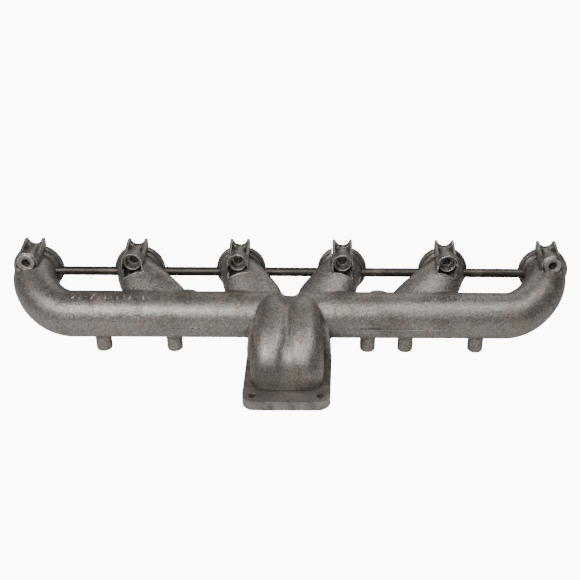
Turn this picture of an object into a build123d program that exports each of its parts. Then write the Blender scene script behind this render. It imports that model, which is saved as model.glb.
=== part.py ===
"""Exhaust manifold of a six-cylinder diesel engine.

The head face is the plane Y = 0 and the six ports face +Y. X runs along the row of ports,
Z is up, and the origin is the middle of the row of head bolts on the head face. The
turbocharger flange points down (-Z). Every region of the casting is its own solid and meets
its neighbours face to face, and the gas passages are open from the ports to the flange.
"""

import os

from build123d import *

os.makedirs("parts", exist_ok=True)

# Row of ports on the head face; each bolt stands straight above its port, at Z = 0.
# A name that ends in rise is a height above the port centres, in z a height in the model.
port_pitch = 140.0
port_count = 6
port_bore_radius = 19.0
bolt_rise = 29.4
port_z = -bolt_rise

# Round port flange: disc, groove and collar, stacked away from the head face
disc_radius = 34.0
disc_thickness = 9.0
groove_radius = 29.5
groove_width = 3.5
collar_radius = 31.0
collar_width = 3.5
neck_radius = 27.0
neck_distance = disc_thickness + groove_width + collar_width

# Log pipe
log_y = -84.0
log_z = port_z - 26.8
log_radius = 30.6
log_wall = 5.5
log_bore_radius = log_radius - log_wall
log_half_length = 285.0
centre_half_length = 92.0
divider_thickness = 20.0

# Runners between the necks and the log. Each flares at three stations beyond the neck, the
# last of them over the log: distance from the head, rise and half height of the section,
# and (shift to the middle, half width) for the outer and the inner runners.
runner_wall = 5.5
runner_distances = (40.0, 62.0, -log_y)
runner_rises = (-1.0, -10.5, -25.0)
runner_half_heights = (25.0, 24.5, 26.5)
outer_flare = ((13.0, 36.0), (30.0, 43.0), (40.0, 47.0))
inner_flare = ((10.5, 33.5), (22.5, 38.0), (31.0, 41.0))
extra_roof = 2.5

# End elbows: how far the bend holds its direction at each end
end_reach_log = 36.0
end_reach_port = 32.0
end_elbow_sections = 6

# Bolt boss with its access tunnel and notched lug
bolt_hole_radius = 5.5
lug_half_width = 13.5
lug_base_rise = 22.0
lug_top_rise = 44.0
lug_thickness = 9.0
ear_inner_x = 9.4
ear_slant = 0.7
notch_bottom_rise = 35.6
rib_thickness = 3.6
rib_step = 1.0
rib_middle_distance = 32.0
rib_middle_rise = 36.5
rib_front_rise = 30.0
rib_foot_rise = 4.0
barrel_radius = 8.5
tunnel_outer_radius = 14.0
tunnel_inner_radius = 12.2
tunnel_distance = 49.7
tunnel_back_distance = 33.0
pocket_back_distance = 36.0
pocket_floor_rise = 18.5
end_ring_radius = 11.4
end_arch_distance = 46.5

# Turbocharger flange
flange_top_z = port_z - 73.8
flange_thickness = 12.9
flange_bottom_z = flange_top_z - flange_thickness
flange_half_width = 54.2
flange_rear_half_width = 56.3
flange_front_y = -213.1
flange_rear_y = -103.0
flange_corner_radius = 16.5
flange_rear_corner_radius = 5.0
flange_hole_radius = 4.25
flange_hole_spacing_x = 84.0
flange_hole_spacing_y = 70.0
flange_hole_inset = 13.3
flange_hole_y = flange_front_y + flange_hole_inset + flange_hole_spacing_y / 2
blind_hole_depth = 10.5
flange_port_width = 31.0
flange_port_depth = 45.0
flange_port_corner = 9.0
flange_port_x = 19.0
flange_port_y = -160.5

# Twin elbow over the flange
bend_y = -112.0
bend_radius = 42.0
bulge_half_width = 25.3
bulge_corner = 22.0
web_half_width = 17.0
web_corner = 7.0
passage_x = 19.0
passage_half_width = 16.0
passage_corner = 11.0

# Shoulder behind the elbow: a pointed arch from the flange up to its crown in the log
shoulder_front_y = -116.5
shoulder_rear_y = -103.0
shoulder_half_width = 55.5
shoulder_arch = ((51.5, port_z - 37.0), (38.5, port_z - 7.5))
shoulder_crown_x = 30.0
shoulder_crown_z = port_z + 3.0

# Valley between the two middle runners
valley_radius = 13.0
valley_bottom_z = port_z - 5.0
valley_slope = 0.3
valley_half_length = 30.0

# Heat shield bosses under the log
shield_boss_radius = 10.5
shield_boss_edge_radius = 2.0
shield_boss_bottom_z = port_z - 80.2
shield_boss_positions = (-249.9, -155.0, 104.4, 155.0, 249.9)

# Tie bars
tie_bar_radius = 6.3
tie_bar_y = -16.0
tie_bar_z = port_z + 1.4

# Block that trims the two middle runners at the middle plane, larger than either of them
trim_width = 150.0
trim_height = 250.0


def port_x(index):
    """X of a port, counted from 1 at the -X end."""
    return (index - (port_count + 1) / 2) * port_pitch


def port_plane(index, distance=0.0, shift=0.0, rise=0.0):
    """Plane across a port: local x along the row, local y up, normal away from the head."""
    return Plane(
        origin=(port_x(index) + shift, -distance, port_z + rise),
        x_dir=(1, 0, 0),
        z_dir=(0, -1, 0),
    )


def cylinder_along_x(radius, start, end):
    """Solid cylinder on the log axis."""
    with BuildPart() as cylinder:
        with BuildSketch(Plane((start, log_y, log_z), x_dir=(0, 1, 0), z_dir=(1, 0, 0))):
            Circle(radius)
        extrude(amount=end - start)
    return cylinder.part


def bolt_axis_cylinder(index, radius, length):
    """Solid cylinder on a bolt's axis, from the head face forwards."""
    with BuildPart() as cylinder:
        with BuildSketch(port_plane(index, rise=bolt_rise)):
            Circle(radius)
        extrude(amount=length)
    return cylinder.part


def runner_body(index, wall):
    """Flared runner of ports 2 to 5, drawn in by the wall thickness when it is the bore."""
    side = 1 if port_x(index) < 0 else -1
    flare = outer_flare if index in (2, port_count - 1) else inner_flare
    # The first station's bore is set lower, which leaves a thicker roof under the bolt boss
    roofs = (extra_roof if wall else 0.0, 0.0, 0.0)
    with BuildPart() as body:
        with BuildSketch(port_plane(index, neck_distance)):
            Circle(neck_radius - wall)
        for station, (shift, half_width) in enumerate(flare):
            rise = runner_rises[station] - roofs[station]
            half_height = runner_half_heights[station] - roofs[station] - wall
            with BuildSketch(port_plane(index, runner_distances[station], side * shift, rise)):
                Ellipse(half_width - wall, half_height)
        loft()
    return body.part


def end_elbow_body(side, wall):
    """Quarter bend from the end of the log to the end port."""
    end_x = port_x(port_count)
    start = Vector(side * log_half_length, log_y, log_z)
    finish = Vector(side * end_x, -neck_distance, port_z)
    reach_log = Vector(side * end_reach_log, 0, 0)
    reach_port = Vector(0, -end_reach_port, 0)
    with BuildLine() as centre_line:
        Bezier(start, start + reach_log, finish + reach_port, finish)
    path = centre_line.line
    with BuildPart() as body:
        for step in range(end_elbow_sections):
            ratio = step / (end_elbow_sections - 1)
            tangent = path % ratio
            across = Vector(0, 0, 1).cross(tangent)
            section = Plane(origin=path @ ratio, x_dir=across, z_dir=tangent)
            radius = log_radius + (neck_radius - log_radius) * ratio
            with BuildSketch(section):
                Circle(radius - wall)
        loft()
    return body.part


def bend_loft(side, stations, half_width, corner):
    """Pipe of rounded sections that turns from the log down to the flange.

    A station is its angle round the bend, its run back into the log, its lift above the
    bend, its distance from the middle plane and its half height.
    """
    with BuildPart() as body:
        for angle, back, lift, middle, half_height in stations:
            heading = Vector(0, -1, 0).rotate(Axis.X, angle)
            arm = Vector(0, 0, bend_radius).rotate(Axis.X, angle)
            centre = Vector(side * middle, bend_y + back, flange_top_z + lift) + arm
            with BuildSketch(Plane(origin=centre, x_dir=(1, 0, 0), z_dir=heading)):
                RectangleRounded(2 * half_width, 2 * half_height, corner)
        loft()
    return body.part


def half_space(side):
    """Block that covers one side of the middle plane, used to trim what crosses it."""
    with BuildPart() as block:
        with BuildSketch(Plane((side * trim_width / 2, log_y, log_z - trim_height / 2))):
            Rectangle(trim_width, trim_height)
        extrude(amount=trim_height)
    return block.part


def finish(part, name):
    """Label a finished piece and write it."""
    part.label = name
    export_step(part, f"parts/{name}.step")


runner_numbers = range(2, port_count)
runner_outsides = {index: runner_body(index, 0.0) for index in runner_numbers}
runner_bores = {index: runner_body(index, runner_wall) for index in runner_numbers}
bolt_holes = {
    index: bolt_axis_cylinder(index, bolt_hole_radius, tunnel_distance) for index in range(1, port_count + 1)
}
log_outside = cylinder_along_x(log_radius, -log_half_length, log_half_length)
log_bore = cylinder_along_x(log_bore_radius, -log_half_length, log_half_length)
bulge_stations = (
    (0, 28.0, 4.8, 15.0, 30.5),
    (0, 0.0, 1.0, 17.0, 36.0),
    (45, 0.0, 0.0, 19.8, 37.0),
    (90, 0.0, 0.0, 20.3, 36.0),
)
# The web closes the valley between the bulges, from half way round the bend to the flange
web_stations = (
    (36, 0.0, 0.0, 0.0, 25.0),
    (54, 0.0, 0.0, 0.0, 34.5),
    (90, 0.0, 0.0, 0.0, 36.0),
)
passage_stations = (
    (0, 28.0, 1.0, passage_x, 19.5),
    (0, 0.0, 0.0, passage_x, 28.5),
    (45, 0.0, 0.0, passage_x, 31.0),
    (90, 0.0, 0.0, passage_x, 30.5),
)
bulges = {side: bend_loft(side, bulge_stations, bulge_half_width, bulge_corner) for side in (-1, 1)}
web = bend_loft(1, web_stations, web_half_width, web_corner)
passages = {side: bend_loft(side, passage_stations, passage_half_width, passage_corner) for side in (-1, 1)}

# The valley between the two middle runners, rising towards the front
with BuildPart() as valley:
    valley_axis = Vector(0, -1, valley_slope)
    valley_middle = Vector(0, log_y, valley_bottom_z + valley_radius)
    valley_start = valley_middle - valley_axis * valley_half_length
    with BuildSketch(Plane(origin=valley_start, x_dir=(1, 0, 0), z_dir=valley_axis)):
        Circle(valley_radius)
    extrude(amount=2 * valley_half_length)


# Log pipe: two plain ends and the centre with its divider
for name, start, end in (
    ("log_pipe_left", -log_half_length, -centre_half_length),
    ("log_pipe_right", centre_half_length, log_half_length),
):
    with BuildPart() as log_pipe:
        add(cylinder_along_x(log_radius, start, end))
        add(log_bore, mode=Mode.SUBTRACT)
        add(runner_bores[2 if start < 0 else 5], mode=Mode.SUBTRACT)
    finish(log_pipe.part, name)

with BuildPart() as log_pipe_centre:
    add(cylinder_along_x(log_radius, -centre_half_length, centre_half_length))
    add(log_bore, mode=Mode.SUBTRACT)
    add(cylinder_along_x(log_bore_radius, -divider_thickness / 2, divider_thickness / 2))
    add(valley.part, mode=Mode.SUBTRACT)
    for index in (3, 4):
        add(runner_bores[index], mode=Mode.SUBTRACT)
    for side in (-1, 1):
        add(passages[side], mode=Mode.SUBTRACT)
finish(log_pipe_centre.part, "log_pipe_centre")

# End elbows
pipe_outsides = dict(runner_outsides)
for side, index in ((-1, 1), (1, port_count)):
    pipe_outsides[index] = end_elbow_body(side, 0.0)
    with BuildPart() as end_elbow:
        add(pipe_outsides[index])
        add(end_elbow_body(side, runner_wall), mode=Mode.SUBTRACT)
        add(bolt_holes[index], mode=Mode.SUBTRACT)
    finish(end_elbow.part, f"end_elbow_{index}")

# Runners, each cut open where the pocket of its bolt boss reaches into it
for index in runner_numbers:
    with BuildPart() as runner:
        add(runner_outsides[index])
        add(log_outside, mode=Mode.SUBTRACT)
        add(runner_bores[index], mode=Mode.SUBTRACT)
        add(bolt_holes[index], mode=Mode.SUBTRACT)
        if index in (3, 4):
            add(half_space(1 if index == 3 else -1), mode=Mode.SUBTRACT)
            add(valley.part, mode=Mode.SUBTRACT)
        with BuildSketch(port_plane(index, pocket_back_distance)):
            with Locations((0, (pocket_floor_rise + bolt_rise) / 2)):
                Rectangle(2 * tunnel_inner_radius, bolt_rise - pocket_floor_rise)
        extrude(amount=tunnel_distance, mode=Mode.SUBTRACT)
    finish(runner.part.solids().sort_by(SortBy.VOLUME)[-1], f"runner_{index}")

# Port flanges, each with a slot at the top that the lug of the bolt boss fills
for index in range(1, port_count + 1):
    with BuildPart() as port_flange:
        distance = 0.0
        for radius, width in (
            (disc_radius, disc_thickness),
            (groove_radius, groove_width),
            (collar_radius, collar_width),
        ):
            with BuildSketch(port_plane(index, distance)):
                Circle(radius)
            extrude(amount=width)
            distance += width
        with BuildSketch(port_plane(index)):
            Circle(port_bore_radius)
            with Locations((0, bolt_rise)):
                Circle(barrel_radius)
            with Locations((0, (lug_base_rise + lug_top_rise) / 2)):
                Rectangle(2 * lug_half_width, lug_top_rise - lug_base_rise)
        extrude(amount=neck_distance, mode=Mode.SUBTRACT)
    finish(port_flange.part, f"port_flange_{index}")

# Bolt bosses: notched lug, two ribs, the barrel round the bolt and the mouth in front of it
for index in range(1, port_count + 1):
    at_end = index in (1, port_count)
    with BuildPart() as bolt_boss:
        with BuildSketch(port_plane(index)):
            with BuildLine():
                Polyline(
                    (ear_inner_x, lug_top_rise),
                    (lug_half_width - ear_slant, lug_top_rise),
                    (lug_half_width, lug_base_rise),
                    (-lug_half_width, lug_base_rise),
                    (-lug_half_width + ear_slant, lug_top_rise),
                    (-ear_inner_x, lug_top_rise),
                )
                ThreePointArc(
                    (-ear_inner_x, lug_top_rise), (0, notch_bottom_rise), (ear_inner_x, lug_top_rise)
                )
            make_face()
        extrude(amount=lug_thickness)
        # Saddle that carries the barrel down to the neck
        with BuildSketch(port_plane(index)):
            with Locations((0, (lug_base_rise + bolt_rise) / 2)):
                Rectangle(2 * lug_half_width, bolt_rise - lug_base_rise)
        extrude(amount=neck_distance)
        with BuildSketch(port_plane(index, neck_distance)):
            with Locations((0, bolt_rise / 2)):
                Rectangle(2 * lug_half_width, bolt_rise)
        extrude(amount=pocket_back_distance - neck_distance)
        for side in (-1, 1):
            rib_x = port_x(index) + side * (lug_half_width - rib_thickness / 2)
            with BuildSketch(Plane((rib_x, 0, port_z), x_dir=(0, 1, 0), z_dir=(1, 0, 0))):
                with BuildLine():
                    Polyline(
                        (0, lug_base_rise),
                        (0, lug_top_rise - rib_step),
                        (-lug_thickness + rib_step, lug_top_rise - rib_step),
                        (-rib_middle_distance, rib_middle_rise),
                        (-tunnel_distance, rib_front_rise),
                        (-tunnel_distance, rib_foot_rise),
                        (-neck_distance, rib_foot_rise),
                        (-neck_distance, lug_base_rise),
                        close=True,
                    )
                make_face()
            extrude(amount=rib_thickness / 2, both=True)
        barrel_front = tunnel_distance if at_end else pocket_back_distance
        front_radius = end_ring_radius if at_end else barrel_radius
        add(bolt_axis_cylinder(index, barrel_radius, pocket_back_distance))
        with BuildSketch(port_plane(index, tunnel_back_distance)):
            with Locations((0, bolt_rise)):
                Circle(front_radius)
        extrude(amount=barrel_front - tunnel_back_distance)
        arch_front = end_arch_distance if at_end else tunnel_distance
        with BuildSketch(port_plane(index, tunnel_back_distance)):
            with Locations((0, bolt_rise)):
                Circle(tunnel_outer_radius)
        extrude(amount=arch_front - tunnel_back_distance)
        if not at_end:
            with BuildSketch(port_plane(index, pocket_back_distance)):
                with Locations((0, bolt_rise)):
                    Circle(tunnel_inner_radius)
                with Locations((0, (pocket_floor_rise + bolt_rise) / 2)):
                    Rectangle(2 * tunnel_inner_radius, bolt_rise - pocket_floor_rise)
            extrude(amount=tunnel_distance, mode=Mode.SUBTRACT)
        add(bolt_holes[index], mode=Mode.SUBTRACT)
        add(pipe_outsides[index], mode=Mode.SUBTRACT)
    finish(bolt_boss.part.solids().sort_by(SortBy.VOLUME)[-1], f"bolt_boss_{index}")

# Twin elbow
with BuildPart() as turbo_elbow:
    for side in (-1, 1):
        add(bulges[side])
    add(web)
    add(log_outside, mode=Mode.SUBTRACT)
    add(valley.part, mode=Mode.SUBTRACT)
    for side in (-1, 1):
        add(passages[side], mode=Mode.SUBTRACT)
    for index in (3, 4):
        add(runner_outsides[index], mode=Mode.SUBTRACT)
finish(turbo_elbow.part.solids().sort_by(SortBy.VOLUME)[-1], "turbo_elbow")

# Shoulders: the two cheeks of a pointed arch between the flange and the log
for side, name in ((-1, "shoulder_left"), (1, "shoulder_right")):
    base_outer = (side * shoulder_half_width, flange_top_z)
    crown_outer = (side * shoulder_crown_x, shoulder_crown_z)
    arch_points = [(side * x, z) for x, z in shoulder_arch]
    with BuildPart() as shoulder:
        with BuildSketch(Plane.XZ.offset(-shoulder_rear_y)):
            with BuildLine():
                Spline(base_outer, *arch_points, crown_outer)
                Polyline(crown_outer, (0, shoulder_crown_z), (0, flange_top_z), base_outer)
            make_face()
        extrude(amount=shoulder_rear_y - shoulder_front_y)
        add(log_outside, mode=Mode.SUBTRACT)
        add(bulges[side], mode=Mode.SUBTRACT)
    finish(shoulder.part.solids().sort_by(SortBy.VOLUME)[-1], name)

# Turbocharger flange with two ports, two through holes in front and two blind ones behind
with BuildPart() as turbo_flange:
    with BuildSketch(Plane((0, 0, flange_bottom_z))):
        with BuildLine():
            Polyline(
                (-flange_half_width, flange_front_y),
                (flange_half_width, flange_front_y),
                (flange_rear_half_width, flange_rear_y),
                (-flange_rear_half_width, flange_rear_y),
                close=True,
            )
        make_face()
    extrude(amount=flange_thickness)
    upright = turbo_flange.edges().filter_by(Axis.Z)
    fillet(upright.group_by(Axis.Y)[0], flange_corner_radius)
    upright = turbo_flange.edges().filter_by(Axis.Z)
    fillet(upright.group_by(Axis.Y)[-1], flange_rear_corner_radius)
    with BuildSketch(Plane((0, 0, flange_bottom_z))):
        with Locations((-flange_port_x, flange_port_y), (flange_port_x, flange_port_y)):
            RectangleRounded(flange_port_width, flange_port_depth, flange_port_corner)
    extrude(amount=flange_thickness, mode=Mode.SUBTRACT)
    for row, depth in ((-1, flange_thickness), (1, blind_hole_depth)):
        with BuildSketch(Plane((0, flange_hole_y + row * flange_hole_spacing_y / 2, flange_bottom_z))):
            with Locations((-flange_hole_spacing_x / 2, 0), (flange_hole_spacing_x / 2, 0)):
                Circle(flange_hole_radius)
        extrude(amount=depth, mode=Mode.SUBTRACT)
finish(turbo_flange.part, "turbo_flange")

# Heat shield bosses
for number, x in enumerate(shield_boss_positions, start=1):
    with BuildPart() as shield_boss:
        with BuildSketch(Plane((x, log_y, shield_boss_bottom_z))):
            Circle(shield_boss_radius)
        extrude(amount=log_z - shield_boss_bottom_z)
        fillet(shield_boss.edges().sort_by(Axis.Z)[0], shield_boss_edge_radius)
        add(log_outside, mode=Mode.SUBTRACT)
    finish(shield_boss.part, f"shield_boss_{number}")

# Tie bars, each between two necks
for number in range(1, port_count):
    left_x = port_x(number)
    with BuildPart() as tie_bar:
        with BuildSketch(Plane((left_x, tie_bar_y, tie_bar_z), x_dir=(0, 1, 0), z_dir=(1, 0, 0))):
            Circle(tie_bar_radius)
        extrude(amount=port_pitch)
        for index in (number, number + 1):
            with BuildSketch(port_plane(index)):
                Circle(collar_radius)
            extrude(amount=neck_distance, mode=Mode.SUBTRACT)
            add(pipe_outsides[index], mode=Mode.SUBTRACT)
    finish(tie_bar.part.solids().sort_by(SortBy.VOLUME)[-1], f"tie_bar_{number}")
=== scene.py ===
"""Six-port exhaust manifold: cast body, port flanges, turbocharger flange and tie bars.

The CAD frame gives every place and size. The cast body starts as merged copies of the CAD
regions, is fused and smoothed until it has a founder's fillets, gets its cast details and is
then parted again, so that each region is a piece that stands for its own CAD node.
"""

import math

import bpy
import numpy as np
from mathutils import Matrix, Vector


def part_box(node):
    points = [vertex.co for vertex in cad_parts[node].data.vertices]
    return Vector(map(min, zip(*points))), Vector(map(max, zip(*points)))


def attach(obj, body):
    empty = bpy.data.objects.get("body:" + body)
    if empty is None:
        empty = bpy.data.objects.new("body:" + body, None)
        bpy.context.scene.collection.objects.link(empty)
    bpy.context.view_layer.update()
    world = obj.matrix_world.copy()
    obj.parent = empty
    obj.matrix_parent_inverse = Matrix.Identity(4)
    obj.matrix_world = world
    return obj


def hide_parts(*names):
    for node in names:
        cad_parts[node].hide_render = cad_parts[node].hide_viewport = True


bl_info = {
    "name": "Exhaust Manifold",
    "version": (1, 0, 0),
    "blender": (4, 5, 0),
    "location": "3D View > Sidebar > Manifold",
    "description": "Builds a cast iron exhaust manifold round its CAD frame",
    "category": "Object",
}

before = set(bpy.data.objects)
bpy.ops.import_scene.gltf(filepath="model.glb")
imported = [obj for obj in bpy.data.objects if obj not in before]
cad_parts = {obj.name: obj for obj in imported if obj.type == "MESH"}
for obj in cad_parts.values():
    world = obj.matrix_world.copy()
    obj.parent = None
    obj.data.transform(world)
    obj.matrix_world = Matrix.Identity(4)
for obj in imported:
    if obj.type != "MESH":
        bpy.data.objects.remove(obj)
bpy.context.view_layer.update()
MM = 0.001
FAR_LOW = (-1, -1, -1)
FAR_HIGH = (1, 1, 1)
MERGE_DISTANCE = 1e-6
PORTS = range(1, 7)
POCKET_PORTS = (2, 3, 4, 5)
END_PORTS = (1, 6)
SHIELD_BOSSES = range(1, 6)
TIE_BARS = range(1, 6)
BODY_NODES = (
    ["log_pipe_left", "log_pipe_centre", "log_pipe_right", "end_elbow_1", "end_elbow_6"]
    + [f"runner_{number}" for number in POCKET_PORTS]
    + [f"bolt_boss_{number}" for number in PORTS]
    + ["turbo_elbow", "shoulder_left", "shoulder_right"]
    + [f"shield_boss_{number}" for number in SHIELD_BOSSES]
)


# Places read from the frame


def middle_of(node):
    """Middle of a CAD node's box."""
    low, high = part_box(node)
    return (low + high) / 2


def port_centre(number):
    """Centre of a port on the head face; the flange is round, so its width gives its radius."""
    low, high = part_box(f"port_flange_{number}")
    radius = (high.x - low.x) / 2
    return Vector(((low.x + high.x) / 2, high.y, low.z + radius))


LOG_LOW, LOG_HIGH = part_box("log_pipe_left")
LOG_RADIUS = (LOG_HIGH.z - LOG_LOW.z) / 2
LOG_AXIS = Vector((0, (LOG_LOW.y + LOG_HIGH.y) / 2, (LOG_LOW.z + LOG_HIGH.z) / 2))
PLATE_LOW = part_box("turbo_flange")[0]
FLANGE_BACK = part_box("port_flange_3")[0].y
BOLT_Z = 0.0

# Sizes of the bolt bosses; rises are counted from the middle of a port
RIB_TOP_RISE = 30 * MM
POCKET_HALF_WIDTH = 12.2 * MM
POCKET_BACK_RISE = 18.7 * MM
POCKET_TOP_RISE = 27 * MM
LIP_STEP = 0.8 * MM
LIP_BEAD_RADIUS = 1.5 * MM
BUMP_SIZE = 4.2 * MM
RING_OUTER_RADIUS = 11.5 * MM
RING_EDGE = 0.7 * MM
RING_DEPTH = 14 * MM
RECESS_RADIUS = 13.8 * MM
HOOD_RADIUS = 14 * MM
NOTCH_RISE = 45 * MM
NOTCH_RADIUS = 9.3 * MM

# Cast marks on the log; degrees are counted from its top towards the front
MARK_PITCH = 8.2 * MM
STROKE_RADIUS = 1.15 * MM
DOT_SIZE = (3.4 * MM, 3.4 * MM, 2.2 * MM)
FEEDER_SIZE = (24 * MM, 14 * MM, 6 * MM)
SEAM_RADIUS = 2.95 * MM
SEAM_SINK = 2.6 * MM


# Settings that a user may change


class ManifoldSizes(bpy.types.PropertyGroup):
    """Sizes of the details that the CAD frame doesn't hold."""

    mesh_size: bpy.props.FloatProperty(
        name="Casting Mesh Size",
        description="Edge length of the fused casting",
        default=1.0 * MM,
        unit="LENGTH",
    )
    fillet_passes: bpy.props.IntProperty(
        name="Fillet Passes",
        description="Smoothing passes over the plain cast surfaces",
        default=26,
    )
    boss_share: bpy.props.FloatProperty(
        name="Boss Smoothing",
        description="Share of the smoothing that reaches the bolt bosses",
        default=0.14,
        subtype="FACTOR",
    )
    waviness: bpy.props.FloatProperty(
        name="Waviness",
        description="Depth of the slow unevenness of the cast skin",
        default=0.35 * MM,
        unit="LENGTH",
    )
    overlap: bpy.props.FloatProperty(
        name="Hidden Overlap",
        description="How far the casting runs on inside its flanges",
        default=4.0 * MM,
        unit="LENGTH",
    )
    bolt_hole_radius: bpy.props.FloatProperty(
        name="Bolt Hole Radius", description="Head bolt clearance hole", default=5.5 * MM, unit="LENGTH"
    )
    plate_edge: bpy.props.FloatProperty(
        name="Plate Edge",
        description="Rounding of the turbocharger flange's edges",
        default=0.9 * MM,
        unit="LENGTH",
    )


class ManifoldFinish(bpy.types.PropertyGroup):
    """Colours of the three finishes."""

    iron: bpy.props.FloatVectorProperty(
        name="Cast Iron", description="Blasted grey iron", default=(0.345, 0.316, 0.284), subtype="COLOR"
    )
    # This dark colour is also painted as shade into the hollows and low down at the front of the casting.
    iron_dark: bpy.props.FloatVectorProperty(
        name="Burnt Iron", description="Dark scale in hollows", default=(0.085, 0.075, 0.067), subtype="COLOR"
    )
    iron_brown: bpy.props.FloatVectorProperty(
        name="Heat Brown", description="Brown heat stains", default=(0.150, 0.112, 0.086), subtype="COLOR"
    )
    iron_tan: bpy.props.FloatVectorProperty(
        name="Rust Tint",
        description="Warm patches of light rust",
        default=(0.34, 0.25, 0.175),
        subtype="COLOR",
    )
    iron_bright: bpy.props.FloatVectorProperty(
        name="Rubbed Iron", description="Edges rubbed bright", default=(0.60, 0.585, 0.56), subtype="COLOR"
    )
    steel: bpy.props.FloatVectorProperty(
        name="Bar Steel",
        description="Drawn steel of the tie bars",
        default=(0.090, 0.080, 0.070),
        subtype="COLOR",
    )


class ManifoldStage(bpy.types.PropertyGroup):
    """Camera, floor and lights."""

    eye: bpy.props.FloatVectorProperty(
        name="Eye",
        description="Place of the camera",
        default=(0.0500, -1.0233, 0.4993),
        subtype="TRANSLATION",
    )
    tilt: bpy.props.FloatProperty(
        name="Tilt",
        description="Camera's angle below the horizon",
        default=math.radians(28.506),
        subtype="ANGLE",
    )
    turn: bpy.props.FloatProperty(
        name="Turn", description="Camera's heading", default=math.radians(-0.672), subtype="ANGLE"
    )
    roll: bpy.props.FloatProperty(
        name="Roll", description="Camera's roll", default=math.radians(0.65), subtype="ANGLE"
    )
    lens: bpy.props.FloatProperty(name="Lens", description="Focal length in mm", default=51.11)
    shift: bpy.props.FloatVectorProperty(
        name="Shift", description="Lens shift", size=2, default=(-0.0793, -0.0091)
    )
    floor_tone: bpy.props.FloatProperty(name="Floor Tone", description="How pale the floor is", default=0.8)
    floor_glow: bpy.props.FloatProperty(
        name="Floor Glow", description="Light of the back-lit floor as the camera sees it", default=11.0
    )
    key_power: bpy.props.FloatProperty(
        name="Key Light", description="Softbox in front on the left", default=14.0, unit="POWER"
    )
    fill_power: bpy.props.FloatProperty(
        name="Fill Light", description="Softbox overhead", default=6.5, unit="POWER"
    )
    rim_power: bpy.props.FloatProperty(
        name="Rim Light", description="Softbox behind", default=3.0, unit="POWER"
    )
    air: bpy.props.FloatProperty(
        name="Air Light", description="Dim even light from all round", default=0.09
    )


# Modelling helpers


def deselect():
    """Leaves nothing selected."""
    bpy.ops.object.select_all(action="DESELECT")


def take(*pieces):
    """Selects these pieces alone and makes the first one active."""
    deselect()
    for piece in pieces:
        piece.select_set(True)
    bpy.context.view_layer.objects.active = pieces[0]
    return pieces[0]


def named(name):
    """Names the primitive that was just added."""
    piece = bpy.context.object
    piece.name = name
    piece.data.name = name
    return piece


def numbers(items, field, width, kind=np.float32):
    """One field of all vertices, edges or faces, as rows."""
    values = np.zeros(len(items) * width, kind)
    items.foreach_get(field, values)
    return values.reshape(-1, width)


def select_faces(piece, test):
    """Enters edit mode with the faces chosen by test(centres, normals) selected."""
    take(piece)
    mesh = piece.data
    chosen = test(numbers(mesh.polygons, "center", 3), numbers(mesh.polygons, "normal", 3))
    mesh.vertices.foreach_set("select", np.zeros(len(mesh.vertices), bool))
    mesh.edges.foreach_set("select", np.zeros(len(mesh.edges), bool))
    mesh.polygons.foreach_set("select", chosen)
    bpy.ops.object.mode_set(mode="EDIT")
    bpy.ops.mesh.select_mode(type="FACE")


def edit(piece):
    """Enters edit mode on the whole of a piece."""
    take(piece)
    bpy.ops.object.mode_set(mode="EDIT")
    bpy.ops.mesh.select_mode(type="VERT")
    bpy.ops.mesh.select_all(action="SELECT")


def leave_edit():
    """Back to object mode."""
    bpy.ops.object.mode_set(mode="OBJECT")


def settle(piece):
    """Moves the piece's place, turn and size into its mesh."""
    take(piece)
    bpy.ops.object.transform_apply(location=True, rotation=True, scale=True)
    return piece


def modify(piece, kind, **settings):
    """Adds a modifier and applies it."""
    take(piece)
    modifier = piece.modifiers.new(kind.title(), kind)
    for key, value in settings.items():
        setattr(modifier, key, value)
    bpy.ops.object.modifier_apply(modifier=modifier.name)
    return piece


def boolean(piece, tool, operation, keep_tool=False, solver="MANIFOLD"):
    """Cuts, joins or trims a piece with a tool shape."""
    modify(piece, "BOOLEAN", object=tool, operation=operation, solver=solver)
    if not keep_tool:
        discard(tool)
    return piece


def discard(piece):
    """Removes a piece that was only a tool."""
    mesh = piece.data
    bpy.data.objects.remove(piece)
    bpy.data.meshes.remove(mesh)


def duplicate(piece, name):
    """Copy of a piece with its own mesh."""
    copy = bpy.data.objects.new(name, piece.data.copy())
    copy.data.name = name
    bpy.context.scene.collection.objects.link(copy)
    return copy


def join(pieces, name):
    """Joins pieces into the first one."""
    whole = take(*pieces)
    if len(pieces) > 1:
        bpy.ops.object.join()
    whole.name = name
    whole.data.name = name
    return whole


def block(low, high, name="block"):
    """Box between two corners."""
    deselect()
    low, high = Vector(low), Vector(high)
    bpy.ops.mesh.primitive_cube_add(size=1, location=(low + high) / 2)
    piece = named(name)
    piece.scale = high - low
    return settle(piece)


def sloped_block(low, high, floors, name="block"):
    """Box whose underside has its own height at each corner: y low and high at x low, then at x high."""
    piece = block(low, high, name)
    for number, height in enumerate(floors):
        piece.data.vertices[2 * number].co.z = height
    return piece


def cheek(low_x, high_x, outline, name="cheek"):
    """Upright plate with an outline of (y, z) points."""
    deselect()
    bpy.ops.mesh.primitive_circle_add(vertices=len(outline), fill_type="NGON")
    piece = named(name)
    for vertex, (y, z) in zip(piece.data.vertices, outline):
        vertex.co = (low_x, y, z)
    edit(piece)
    bpy.ops.mesh.extrude_region_move(TRANSFORM_OT_translate={"value": (high_x - low_x, 0, 0)})
    bpy.ops.mesh.select_all(action="SELECT")
    bpy.ops.mesh.normals_make_consistent(inside=False)
    leave_edit()
    return piece


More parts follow.
